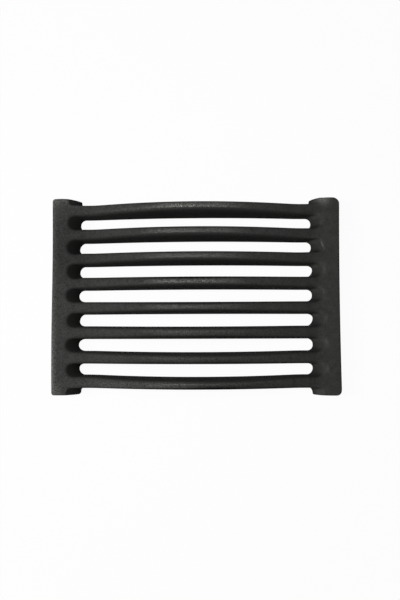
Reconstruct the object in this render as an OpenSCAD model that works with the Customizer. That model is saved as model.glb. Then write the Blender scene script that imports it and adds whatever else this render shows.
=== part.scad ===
// Cast iron fire grate: two rails and a row of fish-bellied bars, poured in one piece.
// The flat side lies on z = 0 and the bellied side faces up.
// X runs along the bars and Y runs across them, with the grate's middle at x = y = 0.

/* [Bars] */
// Number of bars
bar_n = 8; // [4:1:12]
// Distance from the middle of one bar to the middle of the next
bar_pitch = 25; // [22:0.5:30]
// Width of a bar at the flat side
bar_w = 13.2; // [10:0.2:14]
// Slope of the bars' side walls from upright, which lets the casting leave its mould
bar_draft = 4.1; // [1:0.1:5]
// Height of the crown across a bar's back, at mid-length
crown_h = 1.2; // [0.4:0.1:1.6]

/* [Belly] */
// Length of the arched middle of the bars
belly_l = 209; // [150:1:230]
// Height of the bars' backs above the rails
belly_rise = 18.8; // [8:0.2:24]
// Depth of the hollow under the bars, on the flat side
dish_rise = 5.7; // [2:0.1:8]

/* [Slots] */
// Length of a slot at the flat side, from rail to rail
slot_l = 242; // [235:1:320]
// Radius of a slot's corners at the flat side
slot_r = 4.4; // [2:0.2:5]
// Radius of a slot's corners level with the rails' backs
slot_back_r = 7; // [4:0.2:9]
// Slope of the rails' inner walls from upright
end_slope = 26; // [10:1:30]

/* [Rails] */
// Width of a rail at the flat side
rail_w = 26.5; // [20:0.5:40]
// Thickness of the rails, from the flat side to their backs
rail_t = 17.6; // [14:0.2:22]
// Length of the rails past the outer bars, at the flat side
rail_over = 7.4; // [2:0.2:20]
// Slope of the outer walls from upright
rail_draft = 4; // [0.5:0.1:5]
// Radius of the rails' outer corners, seen from above
corner_r = 3.6; // [3.2:0.1:6]
// Radius of the rim around the rails' backs
rim_r = 2; // [0.5:0.1:3]

/* [Hidden] */
$fn = 96;

corner_steps = 6;
// How far a cutter runs past the face that it opens
clear = 1;
// How far a bar's back is drawn wider than the bar, before the slots trim it
trim = 0.5;

grate_l = slot_l + 2 * rail_w;
bars_w = (bar_n - 1) * bar_pitch + bar_w;
grate_w = bars_w + 2 * rail_over;
grate_h = rail_t + belly_rise;

// Radius of an arc from its chord and its height
function arc_radius(chord, rise) = (chord * chord / 4 + rise * rise) / (2 * rise);

belly_r = arc_radius(belly_l, belly_rise);
dish_r = arc_radius(belly_l, dish_rise);

// Width of a bar at a height above the flat side
function bar_width(z) = bar_w - 2 * z * tan(bar_draft);

back_w = bar_width(rail_t) + 2 * trim;
crown_r = max(arc_radius(bar_width(grate_h), crown_h), back_w / 2 + trim);

// Middle of each bar across the grate
function bar_y(i) = (i - (bar_n - 1) / 2) * bar_pitch;

// Level outline of a rectangle with round corners, from the corner at high x and y, anticlockwise
function ring(x, y, r, z) = [
    for (c = [0:3])
        for (k = [0:corner_steps])
            let (a = 90 * (c + k / corner_steps))
            let (cx = c == 0 || c == 3 ? x[1] - r : x[0] + r)
            let (cy = c < 2 ? y[1] - r : y[0] + r)
            [cx + r * cos(a), cy + r * sin(a), z]
];

// Solid through a stack of level outlines with the same number of points
module loft(rings) {
    n = len(rings[0]);
    levels = len(rings);
    polyhedron(
        points = [for (level = rings) for (p = level) p],
        faces = concat(
            [[for (k = [0:n - 1]) k]],
            [[for (k = [n - 1:-1:0]) (levels - 1) * n + k]],
            [
                for (i = [0:levels - 2])
                    for (k = [0:n - 1])
                        let (next = (k + 1) % n)
                        [i * n + k, (i + 1) * n + k, (i + 1) * n + next, i * n + next]
            ]
        )
    );
}

// Outline of the whole slab at a height, drawn in by the drafted walls and by the rim's arc
function slab_ring(z, inset) =
    let (x = grate_l / 2 - z * tan(rail_draft) - inset)
    let (y = grate_w / 2 - z * tan(rail_draft) - inset)
    ring([-x, x], [-y, y], corner_r - inset, z);

// Slab as thick as the rails, with a round rim on its back
module slab() {
    rim = [
        for (k = [0:corner_steps])
            let (a = 90 * k / corner_steps)
            slab_ring(rail_t - rim_r + rim_r * sin(a), rim_r - rim_r * cos(a))
    ];
    loft(concat([slab_ring(0, 0)], rim));
}

// Section of a wheel whose crowned rim is the back of one bar
module back_section() {
    translate([0, -back_w / 2])
        square([belly_r - crown_r, back_w]);
    intersection() {
        translate([belly_r - crown_r, 0])
            circle(r = crown_r);
        translate([belly_r - crown_r - clear, -back_w / 2])
            square([crown_r + 2 * clear, back_w]);
    }
}

// Arched backs of all the bars, down to the middle of the slab
module bar_backs() {
    intersection() {
        for (i = [0:bar_n - 1])
            translate([0, bar_y(i), grate_h - belly_r])
                rotate([90, 0, 0])
                    rotate_extrude()
                        back_section();
        translate([-slot_l / 2, -grate_w / 2, rail_t / 2])
            cube([slot_l, grate_w, grate_h]);
    }
}

// Shallow hollow that lifts the middle of the bars off the flat side
module dish() {
    translate([0, grate_w / 2 + clear, dish_rise - dish_r])
        rotate([90, 0, 0])
            cylinder(r = dish_r, h = grate_w + 2 * clear, $fn = 360);
}

// Outline at a height of the gap between two bar walls, which widens towards the back
function gap_ring(y, z) =
    let (x = slot_l / 2 + z * tan(end_slope))
    let (low = y[0] - z * tan(bar_draft))
    let (high = y[1] + z * tan(bar_draft))
    let (wanted = slot_r + (slot_back_r - slot_r) * z / rail_t)
    ring([-x, x], [low, high], min(wanted, 0.49 * (high - low)), z);

// Opening right through the grate between two bar walls, given where they meet the flat side
module gap(y) {
    loft([gap_ring(y, -clear), gap_ring(y, grate_h + clear)]);
}

// All the slots, and the open sides past the two outer bars
module gaps() {
    for (i = [0:bar_n - 2])
        gap([bar_y(i) + bar_w / 2, bar_y(i + 1) - bar_w / 2]);
    beyond = rail_over + bar_pitch;
    gap([bars_w / 2, bars_w / 2 + beyond]);
    gap([-bars_w / 2 - beyond, -bars_w / 2]);
}

module grate() {
    color("#3a3a39")
        difference() {
            union() {
                slab();
                bar_backs();
            }
            dish();
            gaps();
        }
}

grate();
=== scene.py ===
import math

import bpy
import numpy as np
from mathutils import Matrix, Vector


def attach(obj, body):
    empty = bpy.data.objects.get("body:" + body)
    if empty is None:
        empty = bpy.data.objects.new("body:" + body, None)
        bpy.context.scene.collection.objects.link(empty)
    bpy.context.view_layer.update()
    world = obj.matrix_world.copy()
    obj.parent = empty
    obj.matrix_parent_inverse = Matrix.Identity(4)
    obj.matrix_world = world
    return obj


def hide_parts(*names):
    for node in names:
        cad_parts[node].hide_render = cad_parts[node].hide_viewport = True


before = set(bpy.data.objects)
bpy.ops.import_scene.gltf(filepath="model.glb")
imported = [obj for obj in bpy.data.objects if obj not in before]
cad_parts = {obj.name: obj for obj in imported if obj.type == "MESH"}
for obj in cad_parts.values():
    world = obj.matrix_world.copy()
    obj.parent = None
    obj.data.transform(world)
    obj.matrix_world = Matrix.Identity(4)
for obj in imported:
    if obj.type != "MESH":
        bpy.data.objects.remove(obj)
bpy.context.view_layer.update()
print("stage 1: the packed grate is loaded")

# camera: lens and place are those of the photograph, worked out from the grate's own edges
camera = {
    "focalPixels": 450.0,
    "imageHeight": 600.0,
    "sensor": 36.0,
    "place": (12.95, -33.52, 468.55),   # mm
    "tilt": (-0.051, -0.018, 0.004),    # radians about x, y and z
    "rise": 0.01,            # lens shift, as a share of the picture's height
}


def turn(axis, angle):
    return Matrix.Rotation(angle, 3, axis)


def addCamera(c):
    data = bpy.data.cameras.new("camera")
    data.sensor_width = c["sensor"]
    data.lens = c["sensor"] * c["focalPixels"] / c["imageHeight"]
    data.shift_y = c["rise"]
    data.clip_start = 0.01
    data.clip_end = 50
    obj = bpy.data.objects.new("camera", data)
    bpy.context.scene.collection.objects.link(obj)
    toCamera = turn("Z", c["tilt"][2]) @ turn("Y", c["tilt"][1]) @ turn("X", c["tilt"][0])
    obj.matrix_world = toCamera.transposed().to_4x4()
    obj.location = Vector(c["place"]) / 1000
    bpy.context.scene.camera = obj


addCamera(camera)
print("stage 2: camera")

# the casting, in mm
grate = {
    "bars": 8,
    "pitch": 25.0,           # bar to bar
    "barHalf": 6.65,         # half a bar's width at the flat side
    "barLean": 0.064,        # how far a bar's wall leans in, for each mm of height
    "railBack": 17.6,        # thickness of the rails
    "bellyHalf": 104.6,      # half the length of the arch
    "bellyRise": 18.7,
    "dishRise": 5.7,
    "archSoft": 0.10,        # how softly the arch runs out into the rails
    # middle of the grate to a slot's end, at the flat side and level with the rails' backs
    "slotLeft": (120.5, 130.2),
    "slotRight": (120.5, 129.5),
    "slotCorner": (5.6, 6.85),
    "endBow": (0.6, 1.0),    # how far the slots' end walls bulge, left and right: 0 is a straight slope
    "outerHalf": (146.4, 145.2),    # middle of the grate to the rails' outer walls
    "endHalf": (100.9, 99.65),       # middle of the grate to the rails' ends
    # the rails' four ends: top left, top right, bottom right, bottom left
    "tipInner": ((119.5, 129.4), (118.7, 126.9), (119.8, 127.6), (118.6, 129.7)),
    "tipCorner": (2.6, 6.5, 4.9, 2.6),
    "innerCorner": ((1.5, 1.6), (1.5, 1.6), (1.5, 1.6), (3.2, 2.4)),
    "shoulder": (5.0, 4.0),         # hollow corner between an outer bar and a rail
    "rimLeft": (5.5, 2.6),          # rounding of the rails' rims, across and down
    "rimRight": (1.8, 1.8),         # and of the rims at the rails' ends
    "lip": (4.4, 6.0),       # rounding where a slot's end runs out into a rail's back, left and right
    "lipRunsOn": (0.5, 0.8),    # how much of a lip goes on along the bars' sides, left and right
    "lipFrom": (108.0, 14.0),       # where that begins, and over what length it grows
    "flatEdge": (2.8, 4.2),         # rounding of the bars' backs where they are level with the rails
    "foot": 0.5,             # rounding of the edges at the flat side
    "barEdge": (3.0, 6.0),   # rounding of the bars' backs at mid-length, across and down
    "crown": 11.0,           # radius of the bars' backs, across the bar
    "crownEnds": (98.0, 24.0),      # where the crown begins to flatten, and over what length
    "railFall": 0.5,         # how much the rails' backs fall towards their outer walls and ends
    "railFallFrom": (131.0, 87.0),
}

# what the hand-made pattern and the sand add to the drawn shape, in mm
unevenness = {
    "bars": (0.1, 0.3, 0.6, 0.7, 0.6, 0.2, -0.5, 0.0),       # each bar's shift at mid-length, first bar at +y
    "barEnds": (0.1, 0.3, 0.6, 0.8, 0.8, 0.5, 0.0, 0.7),     # and at its ends
    "leftEnds": (0.1, -0.6, -0.2, -1.0, 0.0, -1.0, 0.0),    # each slot's ends, along the bars
    "rightEnds": (-0.4, -0.3, 0.4, 0.1, 0.3, 0.1, -0.3),
    "leftSkew": (0.0, 0.8, 0.4, 0.1, 0.9, 0.0, -0.8),       # how far each slot's ends slant
    "rightSkew": (0.0, 0.1, 1.2, 0.1, 1.2, -0.1, 0.8),
    "leftCorners": (0.0, 0.2, 0.0, 0.8, 0.0, 1.6, 0.4),     # what is added to the radii of each slot's corners
    "sharpSlot": 1,          # the slot, counted from 0, whose right end has a sharp lip instead
    "sharpLip": 1.8,
    "sharpReach": (1.0, -1.6),      # how far that lip lies past the others, and how far it slants
    "leftWall": (-1.1, -0.4, 0.1),      # rails' outer walls at +y, in the middle and at -y
    "rightWall": (1.05, -0.2, 0.3),
    "leftWave": 0.35,        # how much the left one waves along its length
    "leftTips": (0.5, 0.05),             # rails' ends at +y and at -y
    "rightTips": (-0.2, -0.3),
    "tipBow": (0.4, 0.25, 0.2, 0.1),     # how much each rail's end bulges, in the order of tipInner
    "lowBow": (0.0, 0.0, 0.0, 0.0, 0.0, 0.5, 1.0),      # how much each slot's wall at -y is hollow along its length
    "lowFlare": (0.7, 1.1, 1.6, 0.3, 0.3, -0.4, 0.0),   # how much each slot widens to -y at its left end
    "flareFrom": (116.0, 8.0),      # where that begins, and over what length it grows
}

# how finely it is drawn: intervals along each stretch
steps = {
    "bar": 72, "turnSide": 20, "turnEnd": 6, "slotEnd": 4,
    "shoulder": 5, "innerWall": 3, "innerCorner": 5, "railEnd": 4, "outerCorner": 3,
    "under": 2, "foot": 3, "wall": 8, "edge": 8, "back": 3,
}

frameX = 137.5    # each slot's cell reaches this far along the rails
frameLift = 5.5   # the outer cells' corners reach this far past the outer bars' middles
frameStep = 6.0   # stretch of a cell's end that belongs to each of its corners
barY = [(grate["bars"] / 2 - 0.5 - i) * grate["pitch"] for i in range(grate["bars"])]


def spread(a, b, n):
    return np.linspace(a, b, n, endpoint=False)


def ease(t):
    t = np.clip(t, 0, 1)
    return t * t * (3 - 2 * t)


def arch(x):
    # a parabola over the belly that runs out softly: the larger of 0 and 1 - (x / half)^2, with the kink rounded
    v = 1 - (x / grate["bellyHalf"]) ** 2
    soft = grate["archSoft"] ** 2
    return (v + np.sqrt(v * v + soft)) / (1 + math.sqrt(1 + soft))


def flatSide(x):
    return grate["dishRise"] * arch(x)


def backSide(x, y):
    # rails' back plus the arch, less a crown that grows with the square of the distance from the nearest bar's middle,
    # and less a fall that grows with the square of the distance past a line near the rails' outer walls and ends
    away = np.abs(y[..., None] - np.array(barY)).min(-1)
    onBar = 1 - ease((np.abs(x) - grate["crownEnds"][0]) / grate["crownEnds"][1])
    crown = onBar * np.minimum(away, 5) ** 2 / (2 * grate["crown"])
    fromX, fromY = grate["railFallFrom"]
    pastX = np.clip((np.abs(x) - fromX) / (grate["outerHalf"][1] - fromX), 0, 1)
    pastY = np.clip((np.abs(y) - fromY) / (grate["endHalf"][1] - fromY), 0, 1)
    fall = grate["railFall"] * (pastX ** 2 + (pastY * (1 - onBar)) ** 2)
    return grate["railBack"] + grate["bellyRise"] * arch(x) - crown - fall


def alongRail():
    # where the lines that run out over a rail's back cross it: close together where the rail's end needs them
    marks = np.cumsum([0, steps["shoulder"], steps["innerWall"], steps["innerCorner"],
                       steps["railEnd"], steps["outerCorner"]])
    share = np.array([0, 0.55, 0.7, 0.86, 0.97, 1.0])
    return np.interp(np.arange(steps["turnSide"] + 1), marks, share)


def cellSide(level, y, lift):
    # one long side of a cell, from the middle of the left rail to that of the right, as points in plan
    reach = grate["slotRight"][level] - grate["slotCorner"][level]
    share = alongRail()
    out = reach + (frameX - reach) * share
    x = np.concatenate([-out[:0:-1], np.linspace(-reach, reach, steps["bar"] + 1), out[1:]])
    rise = lift * np.concatenate([share[:0:-1], np.zeros(steps["bar"] + 1), share[1:]]) ** 2
    return np.stack([x, y + rise], -1)


def cellEnd(low, high):
    # heights along a rail between two corners of a cell
    n, m = steps["turnEnd"], steps["slotEnd"]
    return np.concatenate([spread(low[0], low[1], n), spread(low[1], high[1], m), np.linspace(high[1], high[0], n + 1)])


def arc(cx, cy, r, a, b, n, closed=False, tall=None):
    # points on a circle from angle a to angle b, in degrees, or on an ellipse whose half height is tall
    t = np.radians(np.linspace(a, b, n + 1) if closed else spread(a, b, n))
    return np.stack([cx + r * np.cos(t), cy + (tall or r) * np.sin(t)], -1)


def line(p, q, n):
    t = spread(0, 1, n)[:, None]
    return np.array(p) * (1 - t) + np.array(q) * t


def slotLoop(i, level):
    # outline of slot i anticlockwise, and the cell around it
    lean = grate["barLean"] * grate["railBack"] * level
    low = barY[i + 1] + grate["barHalf"] - lean
    high = barY[i] - grate["barHalf"] + lean
    r = grate["slotCorner"][level]
    q = r + unevenness["leftCorners"][i]
    h = min(q, 0.94 * (high - low) / 2)
    left = unevenness["leftEnds"][i] - grate["slotLeft"][level]
    right = unevenness["rightEnds"][i] + grate["slotRight"][level]
    rightSkew = unevenness["rightSkew"][i]
    if i == unevenness["sharpSlot"]:
        right += unevenness["sharpReach"][0] * level
        rightSkew += unevenness["sharpReach"][1] * level
    s, e, m, b = steps["turnSide"], steps["turnEnd"], steps["slotEnd"], steps["bar"]
    floorLine = line((left + q, low), (right - r, low), b)
    floorLine[:, 1] -= unevenness["lowBow"][i] * (arch(floorLine[:, 0]) - arch(left + q))
    outline = np.concatenate([
        floorLine,
        arc(right - r, low + r, r, -90, -45, s), arc(right - r, low + r, r, -45, 0, e),
        line((right, low + r), (right, high - r), m),
        arc(right - r, high - r, r, 0, 45, e), arc(right - r, high - r, r, 45, 90, s),
        line((right - r, high), (left + q, high), b),
        arc(left + q, high - h, q, 90, 135, s, tall=h), arc(left + q, high - h, q, 135, 180, e, tall=h),
        line((left, high - h), (left, low + h), m),
        arc(left + q, low + h, q, 180, 225, e, tall=h), arc(left + q, low + h, q, 225, 270, s, tall=h),
    ])
    tall = (outline[:, 1] - (low + high) / 2) / ((high - low) / 2)      # -1 to 1 across the slot
    outline[:, 0] += unevenness["leftSkew"][i] * tall * ease((left + q - outline[:, 0]) / q)
    outline[:, 0] += rightSkew * tall * ease((outline[:, 0] - right + r) / r)
    flareFrom, flareOver = unevenness["flareFrom"]
    atLeft = ease((-outline[:, 0] - flareFrom) / flareOver)
    outline[:, 1] -= unevenness["lowFlare"][i] * level * atLeft * np.clip(-tall, 0, 1) ** 2
    below = cellSide(level, barY[i + 1], -frameLift if i == grate["bars"] - 2 else 0)
    above = cellSide(level, barY[i], frameLift if i == 0 else 0)
    up = cellEnd((below[-1, 1], barY[i + 1] + frameStep), (above[-1, 1], barY[i] - frameStep))
    right = np.stack([np.full(len(up), frameX), up], -1)
    left = right[::-1] * (-1, 1)
    cell = np.concatenate([below[s:-1], right[:-1], above[::-1][:-1], left[:-1], below[:s]])
    return outline, cell


def railEnd(corner, level):
    # outline from the middle of an outer bar's side round one end of a rail, all with x and y positive
    half, end, out = grate["tipInner"][corner][level], grate["endHalf"][level], grate["outerHalf"][level]
    ri, ro = grate["innerCorner"][corner][level], grate["tipCorner"][corner]
    side = barY[0] + grate["barHalf"] - grate["barLean"] * grate["railBack"] * level
    rs = min(grate["shoulder"][level], 0.94 * (end - ri - side))
    bar = np.stack([np.linspace(0, half - rs, steps["bar"] // 2 + 1), np.full(steps["bar"] // 2 + 1, side)], -1)
    return np.concatenate([
        bar[:-1],
        arc(half - rs, side + rs, rs, -90, 0, steps["shoulder"]),
        line((half, side + rs), (half, end - ri), steps["innerWall"]),
        arc(half + ri, end - ri, ri, 180, 90, steps["innerCorner"]),
        line((half + ri, end), (out - ro, end), steps["railEnd"]),
        arc(out - ro, end - ro, ro, 90, 45, steps["outerCorner"], True),
    ])


def railWall(first, second, cells, level):
    # outline down a rail's outer wall, from the middle of one corner's arc to that of the next, for x positive
    end, out, n = grate["endHalf"][level], grate["outerHalf"][level], steps["outerCorner"]
    r0, r1 = grate["tipCorner"][first], grate["tipCorner"][second]
    share = (cells[n] - cells[n:-n]) / (cells[n] - cells[-n - 1])
    wall = mix(end - r0, r1 - end, share)
    return np.concatenate([
        arc(out - r0, end - r0, r0, 45, 0, n),
        np.stack([np.full(len(wall), out), wall], -1),
        arc(out - r1, r1 - end, r1, 0, -45, n, True)[1:],
    ])


def outerLoop(level):
    # outline of the whole grate clockwise, and the edge of the cells inside it
    top = cellSide(level, barY[0], frameLift)
    ups = [cellEnd((top[-1, 1], barY[0] - frameStep), (barY[1], barY[1] + frameStep))]
    for i in range(1, grate["bars"] - 2):
        ups.append(cellEnd((barY[i], barY[i] - frameStep), (barY[i + 1], barY[i + 1] + frameStep)))
    ups.append(cellEnd((barY[-2], barY[-2] - frameStep), (-top[-1, 1], barY[-1] + frameStep)))
    down = np.concatenate([u[:-1] for u in ups] + [ups[-1][-1:]])
    flip = np.array((-1, 1))
    topLeft, topRight, bottomRight, bottomLeft = (railEnd(k, level) for k in range(4))
    outline = np.concatenate([
        (topLeft * flip)[:0:-1], topRight[:-1],
        railWall(1, 2, down, level)[:-1],
        (bottomRight * -flip)[:0:-1], bottomLeft[:-1] * (-1, -1),
        railWall(3, 0, down, level)[:-1] * (-1, -1),
    ])
    rightIn = np.stack([np.full(len(down), frameX), down], -1)
    cell = np.concatenate([top[:-1], rightIn[:-1], -top[:-1], -rightIn[:-1]])
    return outline, cell


def mix(a, b, t):
    return a * (1 - t) + b * t


def wallSheet(loop, edge):
    """One closed sheet around an opening: a profile carried along its outline.
    The profile runs in under the flat side, turns up the drafted wall and over the back, and ends at the cell's edge.
    A point of the wall at height z is the flat side's outline moved towards the back's outline by z / railBack."""
    (outline0, cell0), (outline1, cell1) = loop(0), loop(1)
    height = grate["railBack"]
    shift = (outline1 - outline0) / height
    inner = np.abs(outline1[:, 0]) < frameX
    bow = np.where(outline1[:, 0] < 0, grate["endBow"][0], grate["endBow"][1]) * inner

    def at(z):
        up = np.minimum(z, height)
        x = outline0[:, 0] + shift[:, 0] * up * (1 - bow * (1 - up / height))
        y = outline0[:, 1] + shift[:, 1] * z
        return np.stack([x, y], -1)

    def leanAt(z):
        # how fast the wall runs outwards with height
        up = np.minimum(z, height)
        slope = np.stack([shift[:, 0] * (1 - bow * (1 - 2 * up / height)), shift[:, 1]], -1)
        return (slope * normal).sum(1)

    along = np.roll(outline1, -1, 0) - np.roll(outline1, 1, 0)
    normal = np.stack([along[:, 1], -along[:, 0]], -1)
    normal /= np.linalg.norm(normal, axis=1, keepdims=True)

    def ray(start, finish):
        d = finish - start
        length = np.linalg.norm(d, axis=1)
        return d / length[:, None], length

    rows = []

    def put(xy, z):
        rows.append(np.concatenate([xy, z[:, None]], -1))

    foot = grate["foot"]
    tilt = np.arctan(leanAt(np.zeros(len(outline0))))
    x0 = at(np.zeros(len(outline0)))[:, 0]
    low = flatSide(x0) + foot * (1 + np.sin(tilt))
    start = at(low)
    direction, length = ray(start, cell0)
    inset = foot * np.cos(tilt)
    for t in spread(0, 1, steps["under"]):
        xy = mix(cell0, start + direction * inset[:, None], t)
        put(xy, flatSide(xy[:, 0]))
    for t in spread(0, 1, steps["foot"]):
        angle = mix(np.pi / 2, -tilt, t)
        xy = start + direction * (foot * (np.cos(tilt) - np.cos(angle)))[:, None]
        put(xy, flatSide(xy[:, 0]) + foot * (1 - np.sin(angle)))

    wide, deep = edge(outline1, np.abs(normal[:, 0]))
    top = backSide(outline1[:, 0], outline1[:, 1])
    for _ in range(3):
        end = at(top - deep)
        direction, length = ray(end, cell1)
        facing = np.clip((direction * normal).sum(1), 0.55, 1)
        reach = np.minimum(wide / facing, 0.92 * length)
        first = np.arctan(deep * np.maximum(leanAt(top - deep), 0) / facing / reach)
        turned = end + direction * (reach * np.cos(first))[:, None]
        top = backSide(turned[:, 0], turned[:, 1]) + deep * np.sin(first)
    high = top - deep
    for t in spread(0, 1, steps["wall"]):
        z = mix(low, high, t)
        put(at(z), z)
    end = at(high)
    for t in spread(0, 1, steps["edge"]):
        angle = mix(first, np.pi / 2, t)
        xy = end + direction * (reach * (np.cos(first) - np.cos(angle)))[:, None]
        put(xy, backSide(xy[:, 0], xy[:, 1]) - deep * (1 - np.sin(angle)))
    begin = end + direction * (reach * np.cos(first))[:, None]
    for t in np.linspace(0, 1, steps["back"] + 1):
        xy = mix(begin, cell1, t)
        put(xy, backSide(xy[:, 0], xy[:, 1]))
    return np.stack(rows)     # profile x outline x 3


def barShare(points):
    # 1 along the arched middle of a bar, 0 at the rails
    return np.clip(1.15 * arch(points[:, 0]), 0, 1) ** 0.5


def slotEdge(points, endOn, rightLip):
    # rounding of a slot's upper edge, across and down: a lip at its ends, a tighter edge along the bars
    x = points[:, 0]
    lip = np.where(x < 0, grate["lip"][0], rightLip)
    share = barShare(points)
    runsOn = np.where(x < 0, grate["lipRunsOn"][0], grate["lipRunsOn"][1])
    onLip = np.maximum(endOn ** 2, runsOn * ease((np.abs(x) - grate["lipFrom"][0]) / grate["lipFrom"][1]))
    wide = mix(mix(grate["flatEdge"][0], grate["barEdge"][0], share), lip, onLip)
    deep = mix(mix(grate["flatEdge"][1], grate["barEdge"][1], share), 0.8 * lip, onLip)
    return wide, deep


def outerEdge(points, endOn):
    # the same along the outer bars, and the rails' rims
    share = barShare(points)
    leftWall = (points[:, 0] < -frameX) * endOn ** 2
    rim = [mix(grate["rimRight"][k], grate["rimLeft"][k], leftWall) for k in (0, 1)]
    onBar = ease((122 - np.abs(points[:, 0])) / 4)
    edge = [mix(grate["flatEdge"][k], grate["barEdge"][k], share) for k in (0, 1)]
    return [mix(rim[k], edge[k], onBar) for k in (0, 1)]


def gridFaces(rows, columns, offset):
    # quads of a grid that is closed along its columns, facing out of the metal
    r, c = np.meshgrid(np.arange(rows - 1), np.arange(columns), indexing="ij")
    n = (c + 1) % columns
    quads = np.stack([r * columns + c, (r + 1) * columns + c, (r + 1) * columns + n, r * columns + n], -1)
    return quads.reshape(-1, 4) + offset


def makeMesh(name, points, faces):
    mesh = bpy.data.meshes.new(name)
    mesh.vertices.add(len(points))
    mesh.vertices.foreach_set("co", (points / 1000).astype(np.float32).ravel())
    mesh.loops.add(faces.size)
    mesh.loops.foreach_set("vertex_index", faces.astype(np.int32).ravel())
    mesh.polygons.add(len(faces))
    mesh.polygons.foreach_set("loop_start", np.arange(0, faces.size, 4, dtype=np.int32))
    mesh.polygons.foreach_set("use_smooth", np.ones(len(faces), dtype=bool))
    mesh.update(calc_edges=True)
    mesh.validate()
    obj = bpy.data.objects.new(name, mesh)
    bpy.context.scene.collection.objects.link(obj)
    return obj


def weld(points, faces, gap=0.001):
    # points that lie on one spot become one
    keys = np.round(points / gap).astype(np.int64)
    _, first, back = np.unique(keys, axis=0, return_index=True, return_inverse=True)
    return points[first], back.ravel()[faces]


def uneven(points):
    """Shifts points in plan. Across the bars each bar takes its own shift, eased into the next over the slot between.
    Past the outer bars the shift eases into that of the rail's end. Along the bars only the rails' outer walls move,
    by a curve through the shifts at the two ends and the middle."""
    x, y, z = points.T
    u = unevenness
    centres = np.array(barY[::-1])
    i = np.clip(np.searchsorted(centres, y) - 1, 0, len(centres) - 2)
    between = ease((y - centres[i]) / grate["pitch"])
    atMiddle, atEnds = (np.array(u[key][::-1]) for key in ("bars", "barEnds"))
    moveY = mix(mix(atEnds[i], atEnds[i + 1], between), mix(atMiddle[i], atMiddle[i + 1], between), arch(x))
    tips = np.where(x < 0, np.where(y > 0, u["leftTips"][0], u["leftTips"][1]),
                    np.where(y > 0, u["rightTips"][0], u["rightTips"][1]))
    corner = np.where(x < 0, np.where(y > 0, 0, 3), np.where(y > 0, 1, 2))
    fromMiddle = np.minimum(np.abs(np.abs(x) - frameX) / frameLift, 1.5)
    bulge = np.array(u["tipBow"])[corner] * np.sign(y) * fromMiddle ** 2 / 2
    past = ease((np.abs(y) - centres[-1] - grate["barHalf"]) / 4)
    moveY = mix(moveY, tips - bulge, past * (np.abs(x) > grate["bellyHalf"]))
    along = y / grate["endHalf"][1]
    moveX = np.zeros(len(x))
    for side, wall in ((-1, u["leftWall"]), (1, u["rightWall"])):
        top, middle, bottom = wall
        curve = middle + (top - bottom) / 2 * along + ((top + bottom) / 2 - middle) * along ** 2
        if side < 0:
            curve += u["leftWave"] * np.sin(np.pi * along)
        moveX += np.where(side * x > 0, curve * ease((np.abs(x) - 130) / 14), 0)
    return np.stack([x + moveX, y + moveY, z], -1)


def castGrate():
    sheets = []
    for i in range(grate["bars"] - 1):
        lip = unevenness["sharpLip"] if i == unevenness["sharpSlot"] else grate["lip"][1]
        sheets.append(wallSheet(lambda level, i=i: slotLoop(i, level), lambda p, e, lip=lip: slotEdge(p, e, lip)))
    sheets.append(wallSheet(outerLoop, outerEdge))
    points, faces, offset = [], [], 0
    for sheet in sheets:
        points.append(sheet.reshape(-1, 3))
        faces.append(gridFaces(sheet.shape[0], sheet.shape[1], offset))
        offset += sheet.shape[0] * sheet.shape[1]
    return weld(np.concatenate(points), np.concatenate(faces))


points, faces = castGrate()
points = uneven(points)
piece = makeMesh("castGrate", points, faces)
print("stage 3: casting", len(points), "points", len(faces), "faces")


def linear(hexColour):
    # sRGB hex to linear light
    c = np.array([int(hexColour[i:i + 2], 16) for i in (1, 3, 5)]) / 255
    return tuple(np.where(c <= 0.04045, c / 12.92, ((c + 0.055) / 1.055) ** 2.4)) + (1.0,)


def addNode(tree, kind, settings=None, inputs=None):
    # a node with its settings and what feeds its sockets
    node = tree.nodes.new(kind)
    for key, value in (settings or {}).items():
        setattr(node, key, value)
    for key, value in (inputs or {}).items():
        if isinstance(value, bpy.types.NodeSocket):
            tree.links.new(value, node.inputs[key])
        else:
            node.inputs[key].default_value = value
    return node


def newMaterial(name):
    material = bpy.data.materials.new(name)
    material.use_nodes = True
    material.node_tree.nodes.clear()
    return material


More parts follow.
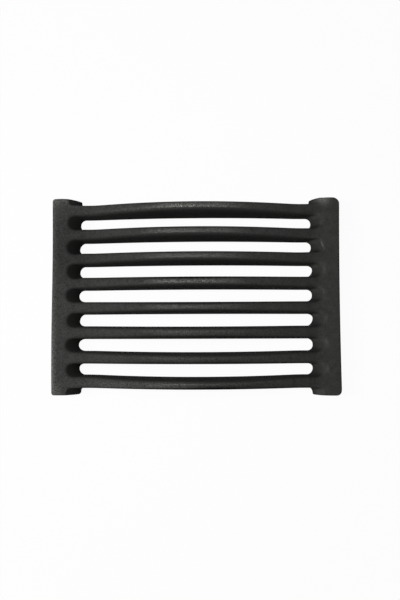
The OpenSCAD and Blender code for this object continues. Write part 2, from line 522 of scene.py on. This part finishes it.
# grey iron as it comes from a sand mould: near-black and faintly warm, dull in the slots, with shade painted into the
# slots' ends, along some flanks and in corners. Scouring has polished the bars' crests, which glint in a broken streak
# where they turn to the light. Highlights are painted pale on the left rail's rim, the rails' corners, some flanks and
# the right slots' lips
iron = {
    "skin": "#3b3b3a",       # walls
    "scoured": "#2c2c2b",    # backs
    "paler": "#4d4d4c",      # blotches and grains
    "paleBlotches": 0.45,
    "paleGrains": 0.8,
    "polished": "#4c4c4a",   # crests
    "paleHighlight": "#8c8c88",       # painted highlights on rims, corners, flanks and lips
    # painted shade, for the slots' ends, some flanks, corners and two wide spots
    "shadeColour": "#161615",
    "grain": 1.3,            # mm, a grain of moulding sand: 0.25 mm in truth, drawn coarser so that it shows
    "blotch": 5.0,           # mm
    "skinRoughness": 0.62,
    "scouredRoughness": 0.55,
    "polishedRoughness": 0.27,
    "roughnessSpread": 0.06,
    "grainDepth": 0.45,       # mm
    "blotchDepth": 0.10,
    "specular": 0.0012,
    "shadeFacingX": 0.3,        # painted shade: how much less the faces are scoured that look to +x, away from the lamps
    "endShade": (0.37, 0.12),    # painted shade on the slots' end walls, left and right: deeper on the walls that look to +x, away from the lamps
    # places of painted shade: x, y, their two radii in mm, and how much
    "shadeSpots": ((114.0, 0.0, 12.0, 300.0, 0.3), (-125.0, 45.0, 42.0, 30.0, 0.3)),
    # painted shade on the bars' flanks: x, the distance from each bar's middle for y, the two radii, and each bar's
    # share
    "shadedFlanks": ((22.0, -3.2, 38.0, 4.0, (0.0, 0.0, 0.0, 0.0, 0.25, 0.45, 0.65, 0.95)),
                    (-5.0, 3.3, 50.0, 2.3, (0.2, 0.4, 0.3, 0.9, 0.6, 0.0, 0.0, 0.0)),
                    (-38.0, -3.0, 24.0, 3.0, (0.0, 0.0, 0.0, 0.0, 0.1, 0.35, 0.45, 0.0)),
                    (-38.0, 0.0, 12.0, 6.0, (0.3, 0.0, 0.0, 0.0, 0.0, 0.0, 0.0, 0.0))),
    # the same painted shade in each slot's right corner at -y, with the distance from the slot's wall for y
    "lowCornerShade": (122.5, 2.0, 4.5, 2.6, 0.5),
    # how much of each crest is polished metal, first bar at +y, and how far up the arch that begins and is full
    "crests": (1.0, 0.7, 0.6, 0.78, 0.6, 0.37, 0.3, 0.75),
    "crestRise": (0.7, 0.97),
    # places painted pale as highlights: x, y, their two radii in mm, and how much
    "highlightSpots": ((-149.0, 103.0, 11.0, 11.0, 0.45), (-134.0, 105.0, 9.0, 9.0, 0.3),
                  (-152.0, -98.0, 12.0, 12.0, 0.6), (130.0, 98.5, 5.5, 5.5, 0.6), (123.0, -97.5, 6.0, 6.0, 0.1),
                  (-78.0, -90.0, 38.0, 7.0, 0.11)),
    # painted highlights on the bars' flanks, in the form of the shaded ones
    "highlightFlanks": ((-20.0, 3.0, 45.0, 1.8, (0.0, 0.0, 0.0, 0.0, 0.0, 0.05, 0.06, 0.11)),
                   (-46.0, -2.7, 36.0, 2.2, (0.1, 0.0, 0.0, 0.0, 0.0, 0.0, 0.0, 0.0)),
                   (-12.0, -0.5, 14.0, 3.0, (0.07, 0.0, 0.0, 0.0, 0.0, 0.0, 0.0, 0.0))),
    # the same painted highlight in each slot's right corner at +y, lightening the crease there, with the distance from
    # the slot's wall for y and two radii
    "highCornerHighlight": (120.5, 1.5, 6.0, 2.2, 0.1),
    "rimHighlightShares": (0.12, 0.18, 0.6),   # painted highlight on the left rail's rim, which turns to the lamps, at +y, in the middle and at -y
    "rimHighlightWidth": 7.5,
    # painted highlights in streaks on the right slots' lips, where they catch the light: x and y of the middle, half
    # the length and width, the angle, and how much
    "lipHighlights": ((128.3, 51.4, 7.5, 1.1, -69.0, 0.45), (127.1, 73.2, 3.5, 1.4, 90.0, 0.1),
                  (129.8, 26.0, 7.0, 3.2, -80.0, 0.11), (128.9, 3.3, 5.0, 1.8, -80.0, 0.14),
                  (131.1, -22.3, 6.5, 2.4, 90.0, 0.08), (131.1, -46.8, 7.5, 3.6, -80.0, 0.18),
                  (131.6, -73.2, 8.0, 3.2, 90.0, 0.18)),
    # how much of the grain is left at the right rail, and where it begins to fade, and over what length
    "grainLeft": 0.5,
    "grainFades": (60.0, 70.0),
}


def bell(x, y, long, wide):
    return np.exp(-(x / long) ** 2 - (y / wide) ** 2)


def markSkin(obj, points):
    # scoured is 1 where a face looks up and 0 on the walls: the height of the normal, less a share of how far it
    # looks to +x, away from the lamps, which paints shade on those faces, eased between two slopes.
    # polished is each bar's own share, times the same ease of the arch's height.
    # It loses a share around each place of painted shade, which falls off as a bell.
    # the painted highlight falls off as a bell around each of its spots and flanks, and from the left rail's wall
    # inwards
    normals = np.empty(len(obj.data.vertices) * 3, np.float32)
    obj.data.vertices.foreach_get("normal", normals)
    up = normals.reshape(-1, 3)[:, 2]
    toRight = normals.reshape(-1, 3)[:, 0]
    # faces that look to +x, away from the lamps, are scoured less: painted shade
    scoured = ease((up - 0.25 - iron["shadeFacingX"] * np.maximum(toRight, 0)) / 0.6)
    x, y, _ = points.T
    # painted shade: on the slots' end walls, deeper where they look to +x, away from the lamps, then around each spot,
    # flank and corner
    unshaded = 1 - np.where(toRight > 0, *iron["endShade"]) * ease((np.abs(toRight) - 0.2) / 0.7)
    for spotX, spotY, long, wide, share in iron["shadeSpots"]:
        unshaded *= 1 - share * bell(x - spotX, y - spotY, long, wide)
    nearest = np.abs(y[:, None] - np.array(barY)).argmin(1)
    fromBar = y - (np.array(barY) + np.array(unevenness["bars"]))[nearest]
    for spotX, aside, long, wide, shares in iron["shadedFlanks"]:
        unshaded *= 1 - np.array(shares)[nearest] * bell(x - spotX, fromBar - aside, long, wide)
    low, high = iron["crestRise"]
    polished = np.array(iron["crests"])[nearest] * ease((arch(x) - low) / (high - low)) * ease((up - 0.7) / 0.25)
    polished *= unshaded
    # painted highlights: pale around spots, on flanks and on the left rail's rim
    paleHighlight = np.zeros(len(x))
    for spotX, spotY, long, wide, share in iron["highlightSpots"]:
        paleHighlight = np.maximum(paleHighlight, share * bell(x - spotX, y - spotY, long, wide))
    for spotX, aside, long, wide, shares in iron["highlightFlanks"]:
        paleHighlight = np.maximum(paleHighlight, np.array(shares)[nearest] * bell(x - spotX, fromBar - aside, long, wide))
    share = np.interp(y, (-grate["endHalf"][1], 0, grate["endHalf"][1]), iron["rimHighlightShares"][::-1])
    inwards = np.clip((x + grate["outerHalf"][1]) / iron["rimHighlightWidth"], 0, 1)
    paleHighlight = np.maximum(paleHighlight, share * (1 - inwards) ** 2) * ease((up - 0.1) / 0.4)
    side = grate["barHalf"] - grate["barLean"] * grate["railBack"]
    # painted shade in each slot's right corner at -y, and a painted highlight in its crease at +y
    for high, low in zip(barY, barY[1:]):
        spotX, away, long, wide, share = iron["lowCornerShade"]
        unshaded *= 1 - share * bell(x - spotX, y - low - side - away, long, wide)
        spotX, away, long, wide, share = iron["highCornerHighlight"]
        paleHighlight = np.maximum(paleHighlight, share * bell(x - spotX, y - high + side + away, long, wide))
    fadeFrom, fadeOver = iron["grainFades"]
    grainy = mix(1, iron["grainLeft"], ease((x - fadeFrom) / fadeOver))
    marks = {"scoured": scoured, "polished": polished, "paleHighlight": paleHighlight, "paintedShade": 1 - unshaded, "grainy": grainy}
    for name, value in marks.items():
        layer = obj.data.attributes.new(name, "FLOAT", "POINT")
        layer.data.foreach_set("value", value.astype(np.float32))


def sandCastIron(v):
    material = newMaterial("sandCastIron")
    tree = material.node_tree
    place = addNode(tree, "ShaderNodeTexCoord").outputs["Object"]
    scoured, polished, paleHighlight, paintedShade, grainy = (
        addNode(tree, "ShaderNodeAttribute", {"attribute_name": name}).outputs["Fac"]
        for name in ("scoured", "polished", "paleHighlight", "paintedShade", "grainy"))

    def noise(size, detail, roughness):
        return addNode(tree, "ShaderNodeTexNoise", inputs={
            "Vector": place, "Scale": 1000 / size, "Detail": detail, "Roughness": roughness}).outputs["Fac"]

    def remap(value, low, high):
        return addNode(tree, "ShaderNodeMapRange", inputs={
            "Value": value, "From Min": 0.3, "From Max": 0.7, "To Min": low, "To Max": high}).outputs[0]

    def blend(factor, first, second):
        return addNode(tree, "ShaderNodeMix", {"data_type": "RGBA"},
                       {"Factor": factor, "A": first, "B": second}).outputs["Result"]

    def times(first, second):
        return addNode(tree, "ShaderNodeMath", {"operation": "MULTIPLY"}, {0: first, 1: second}).outputs[0]

    def between(factor, low, high):
        return addNode(tree, "ShaderNodeMapRange", inputs={
            "Value": factor, "To Min": low, "To Max": high}).outputs[0]

    grain = addNode(tree, "ShaderNodeMix", {"data_type": "FLOAT"}, {
        "Factor": grainy, "A": 0.5, "B": noise(v["grain"], 2.0, 0.6)}).outputs["Result"]
    blotch = noise(v["blotch"], 3.0, 0.6)
    colour = blend(scoured, linear(v["skin"]), linear(v["scoured"]))
    for pattern, share in ((blotch, v["paleBlotches"]), (grain, v["paleGrains"])):
        colour = blend(times(scoured, remap(pattern, 0.0, share)), colour, linear(v["paler"]))
    # painted shade
    colour = blend(paintedShade, colour, linear(v["shadeColour"]))
    metal = times(polished, remap(grain, 0.0, 1.7))
    colour = blend(metal, colour, linear(v["polished"]))
    # painted highlights on rims, corners and flanks
    colour = blend(times(paleHighlight, remap(grain, -0.3, 2.3)), colour, linear(v["paleHighlight"]))
    # painted highlights in streaks on the right slots' lips
    for atX, atY, halfLength, halfWidth, angle, share in v["lipHighlights"]:
        along = addNode(tree, "ShaderNodeMapping", {"vector_type": "TEXTURE"}, {
            "Vector": place, "Location": (atX / 1000, atY / 1000, grate["railBack"] / 1000),
            "Rotation": (0, 0, math.radians(angle)), "Scale": (halfLength / 1000, halfWidth / 1000, 1)}).outputs[0]
        streak = addNode(tree, "ShaderNodeTexGradient", {"gradient_type": "QUADRATIC_SPHERE"}, {"Vector": along})
        colour = blend(times(streak.outputs["Fac"], share), colour, linear(v["paleHighlight"]))
    smooth = between(metal, between(scoured, v["skinRoughness"], v["scouredRoughness"]), v["polishedRoughness"])
    roughness = addNode(tree, "ShaderNodeMath", {"operation": "ADD"}, {
        0: smooth, 1: remap(blotch, -v["roughnessSpread"], v["roughnessSpread"])}).outputs[0]
    broad = addNode(tree, "ShaderNodeBump", inputs={
        "Height": blotch, "Distance": v["blotchDepth"] / 1000, "Strength": 1.0}).outputs[0]
    fine = addNode(tree, "ShaderNodeBump", inputs={
        "Height": grain, "Distance": v["grainDepth"] / 1000, "Strength": 1.0, "Normal": broad}).outputs[0]
    skin = addNode(tree, "ShaderNodeBsdfPrincipled", inputs={
        "Base Color": colour, "Roughness": roughness, "Normal": fine,
        "Metallic": metal, "Specular IOR Level": v["specular"]})
    addNode(tree, "ShaderNodeOutputMaterial", inputs={"Surface": skin.outputs[0]})
    return material


markSkin(piece, points)
piece.data.materials.append(sandCastIron(iron))
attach(piece, "root")
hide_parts("grate")
print("stage 4: finish")

studio = {
    "floorHalf": 3.0,        # m
    "floor": "#ffffff",
    "bounce": "#787878",     # what the floor throws back at the metal's walls
    "glow": 0.95,             # share of the floor's look that is plain white
    "world": 0.24,
    # direction from the grate, distance in m, diameter in m, power in W
    "lights": {
        "topLight": ((-0.12, 0.115, 1.0), 0.35, 0.07, 0.27),
        "leftLight": ((-0.73, 0.0, 0.68), 1.4, 0.35, 4.4),
        "lowLeftLight": ((-0.83, 0.0, 0.55), 1.4, 0.35, 7.0),
    },
}


def seenWhite(tree):
    # 1 for the camera and for what is seen in a reflection or through glass
    path = addNode(tree, "ShaderNodeLightPath").outputs
    mirrored = addNode(tree, "ShaderNodeMath", {"operation": "MAXIMUM"}, {
        0: path["Is Glossy Ray"], 1: path["Is Transmission Ray"]}).outputs[0]
    return addNode(tree, "ShaderNodeMath", {"operation": "MAXIMUM"}, {0: path["Is Camera Ray"], 1: mirrored}).outputs[0]


def addFloor(s):
    h = s["floorHalf"]
    mesh = bpy.data.meshes.new("floor")
    mesh.from_pydata([(-h, -h, 0), (h, -h, 0), (h, h, 0), (-h, h, 0)], [], [(0, 1, 2, 3)])
    floor = bpy.data.objects.new("floor", mesh)
    bpy.context.scene.collection.objects.link(floor)
    material = newMaterial("paleFloor")
    tree = material.node_tree
    seen = seenWhite(tree)
    colour = addNode(tree, "ShaderNodeMix", {"data_type": "RGBA"}, {
        "Factor": seen, "A": linear(s["bounce"]), "B": linear(s["floor"])}).outputs["Result"]
    plain = addNode(tree, "ShaderNodeBsdfDiffuse", inputs={"Color": colour})
    white = addNode(tree, "ShaderNodeEmission", inputs={"Color": (1, 1, 1, 1), "Strength": 1.0})
    share = addNode(tree, "ShaderNodeMath", {"operation": "MULTIPLY"}, {0: seen, 1: s["glow"]})
    both = addNode(tree, "ShaderNodeMixShader", inputs={0: share.outputs[0], 1: plain.outputs[0], 2: white.outputs[0]})
    addNode(tree, "ShaderNodeOutputMaterial", inputs={"Surface": both.outputs[0]})
    mesh.materials.append(material)


def addLights(s):
    for name, (direction, distance, size, power) in s["lights"].items():
        data = bpy.data.lights.new(name, "AREA")
        data.shape = "DISK"
        data.size = size
        data.energy = power
        lamp = bpy.data.objects.new(name, data)
        bpy.context.scene.collection.objects.link(lamp)
        lamp.location = Vector(direction).normalized() * distance
        lamp.rotation_euler = lamp.location.to_track_quat("Z", "Y").to_euler()


def addWorld(s):
    world = bpy.data.worlds.new("studio")
    bpy.context.scene.world = world
    world.use_nodes = True
    tree = world.node_tree
    tree.nodes.clear()
    strength = addNode(tree, "ShaderNodeMapRange", inputs={
        "Value": seenWhite(tree), "To Min": s["world"], "To Max": 1.0}).outputs[0]
    sky = addNode(tree, "ShaderNodeBackground", inputs={"Color": (1, 1, 1, 1), "Strength": strength})
    addNode(tree, "ShaderNodeOutputWorld", inputs={"Surface": sky.outputs[0]})


addFloor(studio)
addLights(studio)
addWorld(studio)
bpy.context.scene.view_settings.view_transform = "Standard"
print("stage 5: floor and light")
